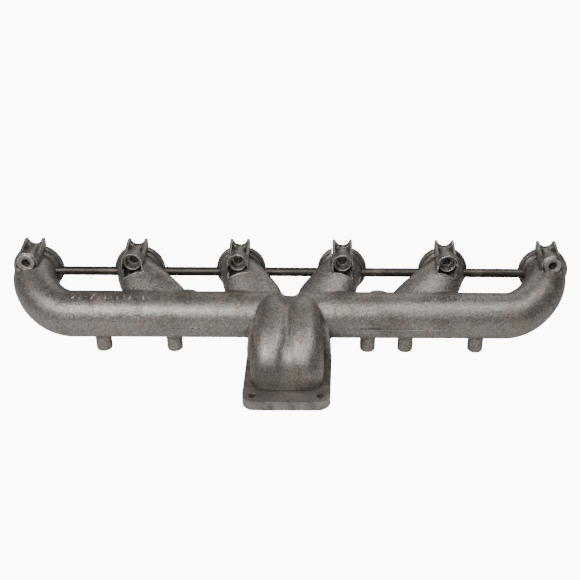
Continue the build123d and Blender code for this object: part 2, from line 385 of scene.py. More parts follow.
def bead(points, radius, name="bead"):
    """Round bead that runs along X through a row of points."""
    deselect()
    bpy.ops.mesh.primitive_circle_add(
        vertices=20, radius=radius, fill_type="NGON", location=points[0], rotation=(0, math.pi / 2, 0)
    )
    piece = settle(named(name))
    edit(piece)
    for here, there in zip(points, points[1:]):
        bpy.ops.mesh.extrude_region_move(TRANSFORM_OT_translate={"value": there - here})
    bpy.ops.mesh.select_all(action="SELECT")
    bpy.ops.mesh.normals_make_consistent(inside=False)
    leave_edit()
    return piece


def pebble(centre, size, name="pebble"):
    """Ball stretched to a size along each axis."""
    deselect()
    bpy.ops.mesh.primitive_uv_sphere_add(segments=24, ring_count=12, radius=0.5, location=centre)
    piece = named(name)
    piece.scale = size
    return settle(piece)


def round_bar(start, end, radius, name="bar", sides=64):
    """Closed cylinder between two points."""
    deselect()
    start, end = Vector(start), Vector(end)
    along = end - start
    middle = (start + end) / 2
    bpy.ops.mesh.primitive_cylinder_add(
        vertices=sides, radius=radius, depth=along.length, location=middle
    )
    piece = named(name)
    piece.rotation_euler = along.to_track_quat("Z", "Y").to_euler()
    return settle(piece)


def turned_ring(centre, profile, name, sides=160):
    """Ring turned about the Y axis through centre, from a closed profile of (radius, distance)."""
    deselect()
    radius, distance = profile[0]
    start = Vector((centre.x, centre.y - distance, centre.z))
    bpy.ops.mesh.primitive_circle_add(
        vertices=sides, radius=radius, location=start, rotation=(math.pi / 2, 0, 0)
    )
    ring = settle(named(name))
    edit(ring)
    for next_radius, next_distance in list(profile[1:]) + [profile[0]]:
        step = (0, distance - next_distance, 0)
        bpy.ops.mesh.extrude_region_move(TRANSFORM_OT_translate={"value": step})
        ratio = next_radius / radius
        bpy.ops.transform.resize(value=(ratio, 1, ratio), center_override=centre)
        radius, distance = next_radius, next_distance
    bpy.ops.mesh.select_all(action="SELECT")
    bpy.ops.mesh.remove_doubles(threshold=MERGE_DISTANCE)
    bpy.ops.mesh.normals_make_consistent(inside=False)
    leave_edit()
    return ring


def drawn_bar(start, end, radius, name, sides=64, steps=14):
    """Bar along X with chamfered ends and the slight unevenness of hot-drawn steel."""
    deselect()
    chamfer = 0.8 * MM
    width = radius - chamfer
    bpy.ops.mesh.primitive_circle_add(
        vertices=sides, radius=width, fill_type="NGON", location=start, rotation=(0, math.pi / 2, 0)
    )
    bar = settle(named(name))
    edit(bar)
    reach = (end.x - start.x - 2 * chamfer) / steps
    stations = [(chamfer, radius - 0.05 * MM)]
    for step in range(1, steps + 1):
        stations.append((reach, radius - (0.12 + 0.12 * math.sin(2.3 * step)) * MM))
    stations.append((chamfer, width))
    place = Vector(start)
    for distance, next_width in stations:
        bpy.ops.mesh.extrude_region_move(TRANSFORM_OT_translate={"value": (distance, 0, 0)})
        place = place + Vector((distance, 0, 0))
        ratio = next_width / width
        bpy.ops.transform.resize(value=(1, ratio, ratio), center_override=place)
        width = next_width
    bpy.ops.mesh.select_all(action="SELECT")
    bpy.ops.mesh.normals_make_consistent(inside=False)
    leave_edit()
    return bar


def finish_piece(piece, slot, *nodes, angle=35.0):
    """Smooths a finished piece, gives it its material and ties it to the frame."""
    take(piece)
    bpy.ops.object.shade_smooth_by_angle(angle=math.radians(angle))
    piece.data.materials.clear()
    piece.data.materials.append(materials[slot])
    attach(piece, "root")
    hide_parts(*nodes)
    return piece


# Materials


class Value:
    """A shader value; arithmetic on it adds Math nodes."""

    def __init__(self, finish, socket):
        self.finish = finish
        self.socket = socket

    def math(self, operation, first, second):
        return self.finish.add("ShaderNodeMath", {"operation": operation}, {0: first, 1: second})

    def __add__(self, other):
        return self.math("ADD", self, other)

    __radd__ = __add__

    def __sub__(self, other):
        return self.math("SUBTRACT", self, other)

    def __rsub__(self, other):
        return self.math("SUBTRACT", other, self)

    def __mul__(self, other):
        return self.math("MULTIPLY", self, other)

    __rmul__ = __mul__

    def between(self, low, high):
        """0 at low, 1 at high, smooth and clamped."""
        settings = {"interpolation_type": "SMOOTHSTEP"}
        sockets = {"Value": self, "From Min": low, "From Max": high}
        return self.finish.add("ShaderNodeMapRange", settings, sockets)


class Finish:
    """A material under construction."""

    def __init__(self, name):
        self.material = bpy.data.materials.new(name)
        self.material.use_nodes = True
        self.tree = self.material.node_tree
        self.shader = self.tree.nodes["Principled BSDF"]
        self.place = self.add("ShaderNodeTexCoord", output="Object")

    def add(self, kind, settings=None, sockets=None, output=0):
        """Adds a node: its settings first, then the values or links of its sockets."""
        node = self.tree.nodes.new(kind)
        for key, value in (settings or {}).items():
            setattr(node, key, value)
        for key, value in (sockets or {}).items():
            self.set(node.inputs[key], value)
        return Value(self, node.outputs[output])

    def set(self, socket, value):
        """Links a value to a socket, or sets it there."""
        if isinstance(value, Value):
            self.tree.links.new(value.socket, socket)
        else:
            socket.default_value = value

    def noise(self, size, detail=3.0, roughness=0.55, distortion=0.0, seed=0.0):
        """Cloudy pattern whose patches are about this size, from 0 to 1."""
        sockets = {
            "Vector": self.place,
            "W": seed,
            "Scale": 1 / size,
            "Detail": detail,
            "Roughness": roughness,
            "Distortion": distortion,
        }
        return self.add("ShaderNodeTexNoise", {"noise_dimensions": "4D"}, sockets)

    def blend(self, share, first, second):
        """Mixes two colours."""
        first = first if isinstance(first, Value) else (*first, 1)
        second = second if isinstance(second, Value) else (*second, 1)
        sockets = {"Factor": share, 6: first, 7: second}
        return self.add("ShaderNodeMix", {"data_type": "RGBA"}, sockets, output=2)

    def bump(self, height, depth, strength=1.0):
        """Normal of a fine relief."""
        sockets = {"Height": height, "Distance": depth, "Strength": strength}
        self.set(self.shader.inputs["Normal"], self.add("ShaderNodeBump", sockets=sockets))

    def outputs(self, colour, roughness, metallic):
        """Links what varies, and sets what doesn't, on the shader."""
        self.set(self.shader.inputs["Base Color"], colour)
        self.set(self.shader.inputs["Roughness"], roughness)
        self.set(self.shader.inputs["Metallic"], metallic)
        return self.material


def cast_iron(tones):
    """Blasted grey iron: speckled grain, warm patches, painted shade in the broad hollows and low down at the
    front, and rubbed edges.
    """
    finish = Finish("cast_iron")
    wear_and_shade = finish.add("ShaderNodeAttribute", {"attribute_name": "wear_and_shade"})
    edge = finish.add("ShaderNodeSeparateColor", sockets={"Color": wear_and_shade})
    broad = Value(finish, edge.socket.node.outputs["Green"])
    painted_low_shade = Value(finish, edge.socket.node.outputs["Blue"])
    rubbed = edge.between(0.58, 0.92)
    # Painted shade: darker where the skin curves into a broad hollow.
    painted_hollow_shade = 1 - broad.between(0.26, 0.50)
    cloud = finish.noise(110 * MM, detail=3, seed=1.0)
    patch = finish.noise(30 * MM, detail=5, roughness=0.62, distortion=0.5, seed=5.5)
    mottle = finish.noise(7 * MM, detail=4, roughness=0.72, seed=7.0)
    grain = finish.noise(1.9 * MM, detail=3, roughness=0.62, seed=9.0)
    pits = finish.noise(3.2 * MM, detail=3, roughness=0.6, seed=12.0)
    tan = patch.between(0.50, 0.66) * (0.2 + 0.8 * cloud.between(0.38, 0.62))
    # Random dark scale, with the painted hollow shade added in.
    scale = mottle.between(0.50, 0.70) * 0.35 + (1 - patch).between(0.52, 0.68) * 0.35 + painted_hollow_shade * 0.65
    stain = finish.noise(46 * MM, detail=4, roughness=0.6, distortion=0.8, seed=21.0)
    colour = finish.blend(tan * 0.60, tones.iron, tones.iron_tan)
    colour = finish.blend(stain.between(0.50, 0.68) * 0.55, colour, tones.iron_brown)
    colour = finish.blend(scale.between(0.0, 1.0) * 0.70, colour, tones.iron_dark)
    colour = finish.blend((1 - grain).between(0.48, 0.62) * 0.40, colour, tones.iron_dark)
    colour = finish.blend(grain.between(0.52, 0.64) * 0.38, colour, tones.iron_bright)
    colour = finish.blend(pits.between(0.62, 0.69) * 0.55, colour, tones.iron_dark)
    # Painted shade, darker low down at the front and towards the left.
    colour = finish.blend(painted_low_shade * 0.62, colour, tones.iron_dark)
    colour = finish.blend(rubbed * 0.45, colour, tones.iron_bright)
    roughness = 0.39 + 0.25 * (mottle - 0.5) + 0.25 * (grain - 0.5) + 0.14 * painted_hollow_shade - 0.10 * rubbed
    relief = 0.75 * grain + 0.55 * mottle - 0.35 * pits.between(0.62, 0.72)
    finish.bump(relief, 0.85 * MM, 0.9)
    return finish.outputs(colour, roughness, 0.82 - 0.25 * tan)


def machined_iron(tones):
    """Turned and faced iron with fine tool marks, duller where it has aged."""
    finish = Finish("machined_iron")
    patch = finish.noise(18 * MM, detail=4, roughness=0.6, seed=2.0)
    mottle = finish.noise(3.5 * MM, detail=4, roughness=0.7, seed=5.0)
    grain = finish.noise(0.8 * MM, detail=3, roughness=0.7, seed=8.0)
    drawn_out = finish.add(
        "ShaderNodeMapping",
        {"vector_type": "TEXTURE"},
        {"Vector": finish.place, "Scale": (40, 1, 1)},
    )
    lines = finish.add("ShaderNodeTexNoise", sockets={"Vector": drawn_out, "Scale": 2200.0, "Detail": 2.0})
    dull = patch.between(0.42, 0.66)
    colour = finish.blend(dull * 0.7, tones.iron, tones.iron_dark)
    colour = finish.blend(mottle.between(0.58, 0.72) * 0.4, colour, tones.iron_tan)
    roughness = 0.36 + 0.18 * dull + 0.10 * grain
    finish.bump(0.5 * grain + 0.35 * lines + 0.3 * mottle, 0.22 * MM, 0.5)
    return finish.outputs(colour, roughness, 0.85 - 0.2 * dull)


def bar_steel(tones):
    """Drawn steel bar under a thin brown oxide, streaked along its length."""
    finish = Finish("tie_bar_steel")
    streak_place = finish.add(
        "ShaderNodeMapping", {"vector_type": "TEXTURE"}, {"Vector": finish.place, "Scale": (14, 1, 1)}
    )
    streak = finish.add(
        "ShaderNodeTexNoise",
        sockets={"Vector": streak_place, "Scale": 380.0, "Detail": 4.0, "Roughness": 0.65},
    )
    patch = finish.noise(30 * MM, detail=4, roughness=0.6, seed=3.0)
    grain = finish.noise(0.9 * MM, detail=3, roughness=0.7, seed=6.0)
    rust = patch.between(0.50, 0.68)
    colour = finish.blend(streak.between(0.35, 0.7) * 0.6, tones.steel, tones.iron_dark)
    colour = finish.blend(rust * 0.35, colour, tones.iron_tan)
    roughness = 0.30 + 0.20 * streak + 0.10 * grain
    finish.bump(0.6 * streak + 0.4 * grain, 0.20 * MM, 0.45)
    return finish.outputs(colour, roughness, 0.9 - 0.2 * rust)


materials = {}


# The cast body


def neighbour_average(values, ends, counts):
    """Mean of each vertex's neighbours."""
    columns = []
    for column in values.T:
        total = np.bincount(ends[:, 0], column[ends[:, 1]], len(counts))
        total += np.bincount(ends[:, 1], column[ends[:, 0]], len(counts))
        columns.append(total / counts)
    return np.stack(columns, 1)


def store_wear_and_shade(piece, mesh_size):
    """Stores how far the skin stands out, close by and over a wide ring, and a mask of painted shade low down
    at the front and towards the left.
    """
    mesh = piece.data
    places = numbers(mesh.vertices, "co", 3).astype(float)
    normals = numbers(mesh.vertices, "normal", 3).astype(float)
    ends = numbers(mesh.edges, "vertices", 2, np.int32)
    counts = np.maximum(np.bincount(ends.ravel(), minlength=len(places)), 1)
    bulge = ((places - neighbour_average(places, ends, counts)) * normals).sum(1, keepdims=True)
    curvature = 4 * bulge / mesh_size**2
    close = curvature
    for _ in range(2):
        close = neighbour_average(close, ends, counts)
    wide = close
    for _ in range(14):
        wide = neighbour_average(wide, ends, counts)
    wear_and_shade = np.ones((len(places), 4), np.float32)
    wear_and_shade[:, 0] = (0.5 + close[:, 0] / 900).clip(0, 1)
    wear_and_shade[:, 1] = (0.5 + wide[:, 0] / 500).clip(0, 1)
    # Painted shade: the third channel darkens the casting low down, at the front and towards the left.
    low_down = ((LOG_AXIS.z + 4 * MM - places[:, 2]) / (24 * MM)).clip(0, 1)
    forward = ((LOG_LOW.y - 8 * MM - places[:, 1]) / (20 * MM)).clip(0, 1)
    to_left = (0.65 - places[:, 0] / (60 * MM)).clip(0.25, 1)
    wear_and_shade[:, 2] = low_down * forward * to_left
    layer = mesh.color_attributes.new("wear_and_shade", "FLOAT_COLOR", "POINT")
    layer.data.foreach_set("color", wear_and_shade.ravel())


def raw_body(sizes):
    """Merged copies of the cast regions, each run on a little where a flange hides its end."""
    regions = []
    for node in BODY_NODES:
        region = duplicate(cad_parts[node], node + "_raw")
        region.data.materials.clear()
        edit(region)
        bpy.ops.mesh.remove_doubles(threshold=MERGE_DISTANCE)
        leave_edit()
        if node.startswith(("runner", "end_elbow")):
            neck_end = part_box(node)[1].y
            select_faces(region, lambda at, facing: (facing[:, 1] > 0.99) & (at[:, 1] > neck_end - 0.05 * MM))
            bpy.ops.mesh.extrude_region_move(TRANSFORM_OT_translate={"value": (0, sizes.overlap, 0)})
            leave_edit()
        elif node.startswith("bolt_boss"):
            select_faces(region, lambda at, facing: (facing[:, 1] > 0.99) & (at[:, 1] > -0.05 * MM))
            bpy.ops.mesh.extrude_region_move(TRANSFORM_OT_translate={"value": (0, sizes.overlap, 0)})
            leave_edit()
        elif node in ("turbo_elbow", "shoulder_left", "shoulder_right"):
            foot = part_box(node)[0].z
            select_faces(region, lambda at, facing: (facing[:, 2] < -0.99) & (at[:, 2] < foot + 0.05 * MM))
            bpy.ops.mesh.extrude_region_move(TRANSFORM_OT_translate={"value": (0, 0, -sizes.overlap)})
            leave_edit()
        regions.append(region)
    return join(regions, "casting")


def boss_weight(places):
    """1 on the bolt bosses, 0 on the plain casting, with a soft border."""
    weight = np.zeros(len(places))
    border = 4 * MM
    for number in PORTS:
        low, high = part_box(f"bolt_boss_{number}")
        centre = port_centre(number)
        inside_x = ((high.x - low.x) / 2 + 1 * MM - abs(places[:, 0] - centre.x)) / border + 1
        inside_y = (places[:, 1] - low.y + 2 * MM) / border + 1
        inside_z = (places[:, 2] - centre.z - 16 * MM) / border + 1
        share = np.minimum(np.minimum(inside_x, inside_y), inside_z).clip(0, 1)
        weight = np.maximum(weight, share)
    return weight


def smooth_body(casting, sizes):
    """Rounds the casting's corners: fully on plain surfaces, lightly on the bolt bosses."""
    places = numbers(casting.data.vertices, "co", 3)
    share = 1 - (1 - sizes.boss_share) * boss_weight(places)
    share = np.where(places[:, 2] < LOG_LOW.z - 6 * MM, np.minimum(share, 0.5), share)
    across_shoulder = (abs(places[:, 0]) > 36 * MM) & (abs(places[:, 0]) < 60 * MM)
    on_shoulder = across_shoulder & (places[:, 1] < -104 * MM) & (places[:, 2] < LOG_AXIS.z + 10 * MM)
    share = np.where(on_shoulder, np.minimum(share, 0.3), share)
    group = casting.vertex_groups.new(name="fillet")
    steps = 16
    levels = np.round(share * steps).astype(int)
    for level in range(1, steps + 1):
        group.add(np.flatnonzero(levels == level).tolist(), level / steps, "REPLACE")
    modify(casting, "SMOOTH", factor=0.5, iterations=sizes.fillet_passes, vertex_group="fillet")
    in_valley = (abs(places[:, 0]) < 9 * MM) & (places[:, 1] < LOG_AXIS.y - 20 * MM)
    in_valley &= places[:, 2] > LOG_LOW.z + 8 * MM
    valley = casting.vertex_groups.new(name="valley")
    valley.add(np.flatnonzero(in_valley).tolist(), 1, "REPLACE")
    modify(casting, "SMOOTH", factor=0.5, iterations=2 * sizes.fillet_passes, vertex_group="valley")
    casting.vertex_groups.clear()
    clouds = bpy.data.textures.new("skin", "CLOUDS")
    clouds.noise_scale = 28 * MM
    modify(
        casting,
        "DISPLACE",
        texture=clouds,
        texture_coords="LOCAL",
        strength=sizes.waviness,
        mid_level=0.5,
    )
    bpy.data.textures.remove(clouds)


def outer_side(number):
    """Direction from a port away from the middle of the row."""
    return -1 if number < 3.5 else 1


def across(number, near, far):
    """X range between two distances from a port's middle, counted towards the outer side."""
    middle, side = port_centre(number).x, outer_side(number)
    return sorted((middle + side * near, middle + side * far))


def rib_feet():
    """Fronts of the ribs beside each pocket, which run down to the ends of its lip."""
    feet = []
    for number in POCKET_PORTS:
        z = port_centre(number).z
        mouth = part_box(f"bolt_boss_{number}")[0].y
        back, lip = mouth + 6 * MM, mouth - 1.8 * MM
        top = (back, z + RIB_TOP_RISE), (mouth, z + RIB_TOP_RISE - 0.5 * MM)
        outline = (
            *top,
            (lip, z + 9 * MM),
            (mouth, z + 4 * MM),
            (back, z + 4 * MM),
        )
        feet.append(cheek(*across(number, 11.6 * MM, 14.0 * MM), outline))
        outline = (
            *top,
            (lip, z + 18.5 * MM),
            (mouth, z + 12 * MM),
            (back, z + 12 * MM),
        )
        feet.append(cheek(*across(number, -14.4 * MM, -12.0 * MM), outline))
    return feet


def pocket_cuts():
    """Floors of the pockets: they follow the runner's roof down to a lip in front."""
    cuts = []
    for number in POCKET_PORTS:
        z = port_centre(number).z
        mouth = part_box(f"bolt_boss_{number}")[0].y
        lip, back = mouth - LIP_STEP, mouth + 12.5 * MM
        outer = (z + 4.0 * MM, z + 13.5 * MM)
        middle = (z + 11.5 * MM, z + POCKET_BACK_RISE)
        inner = (z + 16.8 * MM, z + POCKET_BACK_RISE)
        left, right = (outer, inner) if outer_side(number) < 0 else (inner, outer)
        bend_x = port_centre(number).x + outer_side(number) * 4 * MM
        low_x, high_x = across(number, -POCKET_HALF_WIDTH, POCKET_HALF_WIDTH)
        top = z + POCKET_TOP_RISE
        cuts.append(sloped_block((low_x, lip, z), (bend_x, back, top), left + middle))
        overlap = 0.01 * MM
        cuts.append(sloped_block((bend_x - overlap, lip, z), (high_x, back, top), middle + right))
    return cuts


def lip_beads(casting):
    """Bead along the lip in front of each pocket, ending in a small bump at the inner rib."""
    bpy.context.view_layer.update()
    beads, bumps = [], []
    for number in POCKET_PORTS:
        side = outer_side(number)
        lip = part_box(f"bolt_boss_{number}")[0].y - 2 * LIP_STEP
        points = []
        for step in range(11):
            x = port_centre(number).x + side * (11.5 - 2.7 * step) * MM
            found, place, _, _ = casting.ray_cast(Vector((x, lip, 60 * MM)), Vector((0, 0, -1)))
            if found:
                points.append(place - Vector((0, 0, LIP_BEAD_RADIUS / 3)))
        points.sort(key=lambda point: point.x)
        beads.append(bead(points, LIP_BEAD_RADIUS))
        bumps.append(pebble(points[-1] if side < 0 else points[0], (BUMP_SIZE,) * 3))
    return beads, bumps


def recess_cuts():
    """Spot-faced recess round the raised ring of each end boss."""
    cuts = []
    for number in END_PORTS:
        mouth = -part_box(f"bolt_boss_{number}")[0].y
        inner, front, floor = RING_OUTER_RADIUS - 0.1 * MM, mouth + 1.2 * MM, mouth - 2 * MM
        profile = [(inner, front), (RECESS_RADIUS, front), (RECESS_RADIUS, floor), (inner, floor)]
        centre = Vector((port_centre(number).x, 0, BOLT_Z))
        cuts.append(turned_ring(centre, profile, "recess"))
    return cuts


def counterbore_rings():
    """Ring round each bolt hole: sunk in its pocket, or flush with the face of an end boss."""
    rings = []
    for number in PORTS:
        at_end = number in END_PORTS
        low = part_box(f"bolt_boss_{number}")[0]
        mouth = -low.y - (0.05 if at_end else 4.0) * MM
        back, edge = mouth - RING_DEPTH, RING_EDGE
        inner, outer = 6.6 * MM if at_end else 9.2 * MM, RING_OUTER_RADIUS
        profile = [
            (inner, mouth - edge),
            (inner + edge, mouth),
            (outer - edge, mouth),
            (outer, mouth - edge),
            (outer, back),
            (inner, back),
        ]
        centre = Vector((port_centre(number).x, 0, BOLT_Z))
        rings.append(turned_ring(centre, profile, "ring", sides=72))
    return rings


def hood_rims():
    """Thin bead round the mouth of each pocket's hood."""
    rims = []
    for number in POCKET_PORTS:
        centre = Vector((port_centre(number).x, 0, BOLT_Z))
        mouth, depth, edge = -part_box(f"bolt_boss_{number}")[0].y, 2.2 * MM, 0.5 * MM
        inner, outer = POCKET_HALF_WIDTH, HOOD_RADIUS
        profile = [
            (inner, mouth - edge),
            (inner + edge, mouth),
            (outer - edge, mouth),
            (outer, mouth - edge),
            (outer, mouth - depth),
            (inner, mouth - depth),
        ]
        rim = turned_ring(centre, profile, "rim", sides=96)
        upper = block((centre.x - 0.1, -1, BOLT_Z - 1 * MM), (centre.x + 0.1, 1, 1))
        rims.append(boolean(rim, upper, "INTERSECT"))
    return rims


def log_place(x, degrees, rise=0.0):
    """Point on the log's skin: degrees are counted from its top towards the front."""
    turn = math.radians(degrees)
    reach = LOG_RADIUS + rise
    return Vector((x, LOG_AXIS.y - reach * math.sin(turn), LOG_AXIS.z + reach * math.cos(turn)))


def founders_marks():
    """Rows of plain raised strokes and dots, the parting line and two blended feeders on the log."""
    marks = []
    for start, count in ((-279 * MM, 13), (183 * MM, 8)):
        for number in range(count):
            x = start + number * MARK_PITCH
            if number % 4 == 2:
                marks.append(pebble(log_place(x, 13), DOT_SIZE))
                continue
            lean = (number % 3 - 1) * 1.4 * MM
            ends = log_place(x - lean, 5, -0.25 * MM), log_place(x + lean, 22, -0.25 * MM)
            marks.append(round_bar(*ends, STROKE_RADIUS, "stroke", sides=16))
    for low_x, high_x in ((-152 * MM, -100 * MM), (92 * MM, 206 * MM)):
        line = log_place(low_x, 97, -SEAM_SINK), log_place(high_x, 98, -SEAM_SINK)
        marks.append(round_bar(*line, SEAM_RADIUS, "parting_line", sides=32))
    for x in (-134 * MM, 117 * MM):
        marks.append(pebble(log_place(x, -24, -1.6 * MM), FEEDER_SIZE))
    return marks


def bolt_cuts(radius):
    """Bolt holes through all the bosses."""
    cuts = []
    for number in PORTS:
        x = port_centre(number).x
        cuts.append(round_bar((x, 5 * MM, BOLT_Z), (x, -60 * MM, BOLT_Z), radius))
    return cuts


def notch_cuts():
    """Round notches between the ears of the bolt bosses."""
    cuts = []
    for number in PORTS:
        x = port_centre(number).x
        z = port_centre(number).z + NOTCH_RISE
        cuts.append(round_bar((x, 3 * MM, z), (x, -9.5 * MM, z), NOTCH_RADIUS))
    return cuts


def part_off(casting, name, low, high):
    """Cuts the box between two corners out of the casting, as a piece of its own."""
    box = block(low, high)
    piece = duplicate(casting, name)
    boolean(piece, box, "INTERSECT", keep_tool=True)
    boolean(casting, box, "DIFFERENCE")
    return piece


def part_body(casting):
    """Parts the casting into its named regions."""
    regions = {}
    for side, number in ((-1, 1), (1, 6)):
        end = side * abs(LOG_LOW.x)
        low, high = (FAR_LOW, (end, 1, 1)) if side < 0 else ((end, -1, -1), FAR_HIGH)
        regions[f"end_elbow_{number}"] = part_off(casting, f"end_elbow_{number}", low, high)
    log_back = LOG_HIGH.y
    back = part_off(casting, "runner_5", (-1, log_back, -1), FAR_HIGH)
    for number in (2, 3, 4):
        border = (port_centre(number).x + port_centre(number + 1).x) / 2
        regions[f"runner_{number}"] = part_off(back, f"runner_{number}", FAR_LOW, (border, 1, 1))
    regions["runner_5"] = back
    for number in PORTS:
        low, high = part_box(f"bolt_boss_{number}")
        host = regions.get(f"runner_{number}") or regions[f"end_elbow_{number}"]
        margin = Vector((2 * MM, 0, 0))
        floor = port_centre(number).z + 16 * MM
        front = max(low.y - 1 * MM, log_back - 1 * MM) if number in POCKET_PORTS else low.y - 1 * MM
        box_low = Vector((low.x, front, floor)) - margin
        box_high = Vector((high.x, 1, 1)) + margin
        regions[f"bolt_boss_{number}"] = part_off(host, f"bolt_boss_{number}", box_low, box_high)
    shoulder_low, shoulder_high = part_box("shoulder_left")
    half = abs(shoulder_low.x) + 4 * MM
    elbow = part_off(casting, "turbo_elbow", (-half, -1, -1), (half, shoulder_high.y - 1 * MM, 1))
    regions["turbo_elbow"] = elbow
    for name, low_x, high_x in (("shoulder_left", -1, 0), ("shoulder_right", 0, 1)):
        low = (low_x, shoulder_low.y, -1)
        regions[name] = part_off(elbow, name, low, (high_x, 1, LOG_LOW.z + 2 * MM))
    for number in SHIELD_BOSSES:
        low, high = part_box(f"shield_boss_{number}")
        margin = 3 * MM
        box_low = (low.x - margin, low.y - margin, -1)
        box_high = (high.x + margin, high.y + margin, LOG_LOW.z - 1 * MM)
        regions[f"shield_boss_{number}"] = part_off(casting, f"shield_boss_{number}", box_low, box_high)
    centre_low, centre_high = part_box("log_pipe_centre")
    regions["log_pipe_left"] = part_off(casting, "log_pipe_left", FAR_LOW, (centre_low.x, 1, 1))
    regions["log_pipe_right"] = part_off(casting, "log_pipe_right", (centre_high.x, -1, -1), FAR_HIGH)
    casting.name = "log_pipe_centre"
    regions["log_pipe_centre"] = casting
    return regions


def keep_skin(piece, whole):
    """Gives a parted region the whole casting's normals, and its wear and painted shade, so that no joint
    shows.
    """
    modify(
        piece,
        "DATA_TRANSFER",
        object=whole,
        use_vert_data=True,
        data_types_verts={"COLOR_VERTEX"},
        vert_mapping="POLYINTERP_NEAREST",
        use_loop_data=True,
        data_types_loops={"CUSTOM_NORMAL"},
        loop_mapping="POLYINTERP_NEAREST",
    )


class MANIFOLD_OT_body(bpy.types.Operator):
    """Casts the body: fuses, smooths, details and parts the cast regions"""

    bl_idname = "manifold.body"
    bl_label = "Cast Body"

    def execute(self, context):
        sizes = context.scene.manifold_sizes
        casting = raw_body(sizes)
        modify(casting, "REMESH", mode="VOXEL", voxel_size=sizes.mesh_size, use_smooth_shade=True)
        smooth_body(casting, sizes)
        beads, bumps = lip_beads(casting)
        for pieces, operation in (
            (rib_feet(), "UNION"),
            (pocket_cuts(), "DIFFERENCE"),
            (beads, "UNION"),
            (bumps, "UNION"),
            (recess_cuts(), "DIFFERENCE"),
            (hood_rims(), "UNION"),
            (counterbore_rings(), "UNION"),
            (founders_marks(), "UNION"),
            (notch_cuts(), "DIFFERENCE"),
            (bolt_cuts(sizes.bolt_hole_radius), "DIFFERENCE"),
            ([block((FAR_LOW[0], 0, FAR_LOW[2]), FAR_HIGH)], "DIFFERENCE"),
        ):
            boolean(casting, join(pieces, "tool"), operation)
        store_wear_and_shade(casting, sizes.mesh_size)
        whole = duplicate(casting, "whole")
        for name, piece in part_body(casting).items():
            piece.name = piece.data.name = "cast_" + name
            keep_skin(piece, whole)
            finish_piece(piece, "cast_iron", name, angle=60.0)
        discard(whole)
        return {"FINISHED"}


class MANIFOLD_OT_port_flanges(bpy.types.Operator):
    """Turns the six port flanges, each with its disc, groove, collar and slot for the bolt boss"""

    bl_idname = "manifold.port_flanges"
    bl_label = "Port Flanges"

    def execute(self, context):
        centre = port_centre(1)
        disc = centre.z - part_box("port_flange_1")[0].z
        edge = 0.7 * MM
        thickness, groove_end, back = 9.0 * MM, 12.5 * MM, -FLANGE_BACK
        bore, groove, collar = 19.0 * MM, 29.5 * MM, 31.0 * MM
        profile = [
            (bore, edge),
            (bore + edge, 0),
            (disc - edge, 0),
            (disc, edge),
            (disc, thickness - edge),
            (disc - edge, thickness),
            (groove + edge, thickness),
            (groove, thickness + edge),
            (groove, groove_end - edge),
            (groove + edge, groove_end),
            (collar, groove_end + edge),
            (collar, back - edge),
            (collar - edge, back),
            (bore, back),
        ]
        pattern = turned_ring(centre, profile, "turned_port_flange_1")
        low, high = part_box("bolt_boss_1")
        slot_low = Vector((low.x, -1, centre.z + 22 * MM))
        boolean(pattern, block(slot_low, (high.x, 1, 1)), "DIFFERENCE", solver="EXACT")
        hole = round_bar((centre.x, 1 * MM, BOLT_Z), (centre.x, -60 * MM, BOLT_Z), 8.5 * MM)
        boolean(pattern, hole, "DIFFERENCE", solver="EXACT")
        for number in PORTS:
            flange = pattern if number == 1 else duplicate(pattern, f"turned_port_flange_{number}")
            if number > 1:
                flange.location.x = port_centre(number).x - centre.x
                settle(flange)
            finish_piece(flange, "machined_iron", f"port_flange_{number}")
        return {"FINISHED"}


class MANIFOLD_OT_turbo_flange(bpy.types.Operator):
    """Makes the turbocharger flange: plate, two ports, two through holes and two blind ones"""

    bl_idname = "manifold.turbo_flange"
    bl_label = "Turbocharger Flange"

    def execute(self, context):
        sizes = context.scene.manifold_sizes
        plate = duplicate(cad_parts["turbo_flange"], "turbo_flange_plate")
        edit(plate)
        bpy.ops.mesh.remove_doubles(threshold=MERGE_DISTANCE)
        bpy.ops.mesh.dissolve_limited(angle_limit=math.radians(0.5))
        leave_edit()
        modify(
            plate,
            "BEVEL",
            width=sizes.plate_edge,
            segments=3,
            limit_method="ANGLE",
            angle_limit=math.radians(50),
            use_clamp_overlap=True,
        )
        finish_piece(plate, "machined_iron", "turbo_flange")
        return {"FINISHED"}


class MANIFOLD_OT_tie_bars(bpy.types.Operator):
    """Draws the five tie bars between the port necks"""

    bl_idname = "manifold.tie_bars"
    bl_label = "Tie Bars"

    def execute(self, context):
        for number in TIE_BARS:
            low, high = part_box(f"tie_bar_{number}")
            middle = middle_of(f"tie_bar_{number}")
            start = Vector((low.x, middle.y, middle.z))
            end = Vector((high.x, middle.y, middle.z))
            bar = drawn_bar(start, end, (high.z - low.z) / 2, f"drawn_tie_bar_{number}")
            finish_piece(bar, "tie_bar_steel", f"tie_bar_{number}")
        return {"FINISHED"}


# Stage


def aim(place, target):
    """Turn that points a lamp's -Z from place to target."""
    return (Vector(target) - Vector(place)).to_track_quat("-Z", "Y").to_euler()


def softbox(name, place, target, width, depth, power):
    """Large soft area light."""
    deselect()
    bpy.ops.object.light_add(type="AREA", location=place, rotation=aim(place, target))
    lamp = bpy.context.object
    lamp.name = name
    lamp.data.shape = "RECTANGLE"
    lamp.data.size = width
    lamp.data.size_y = depth
    lamp.data.energy = power
    return lamp


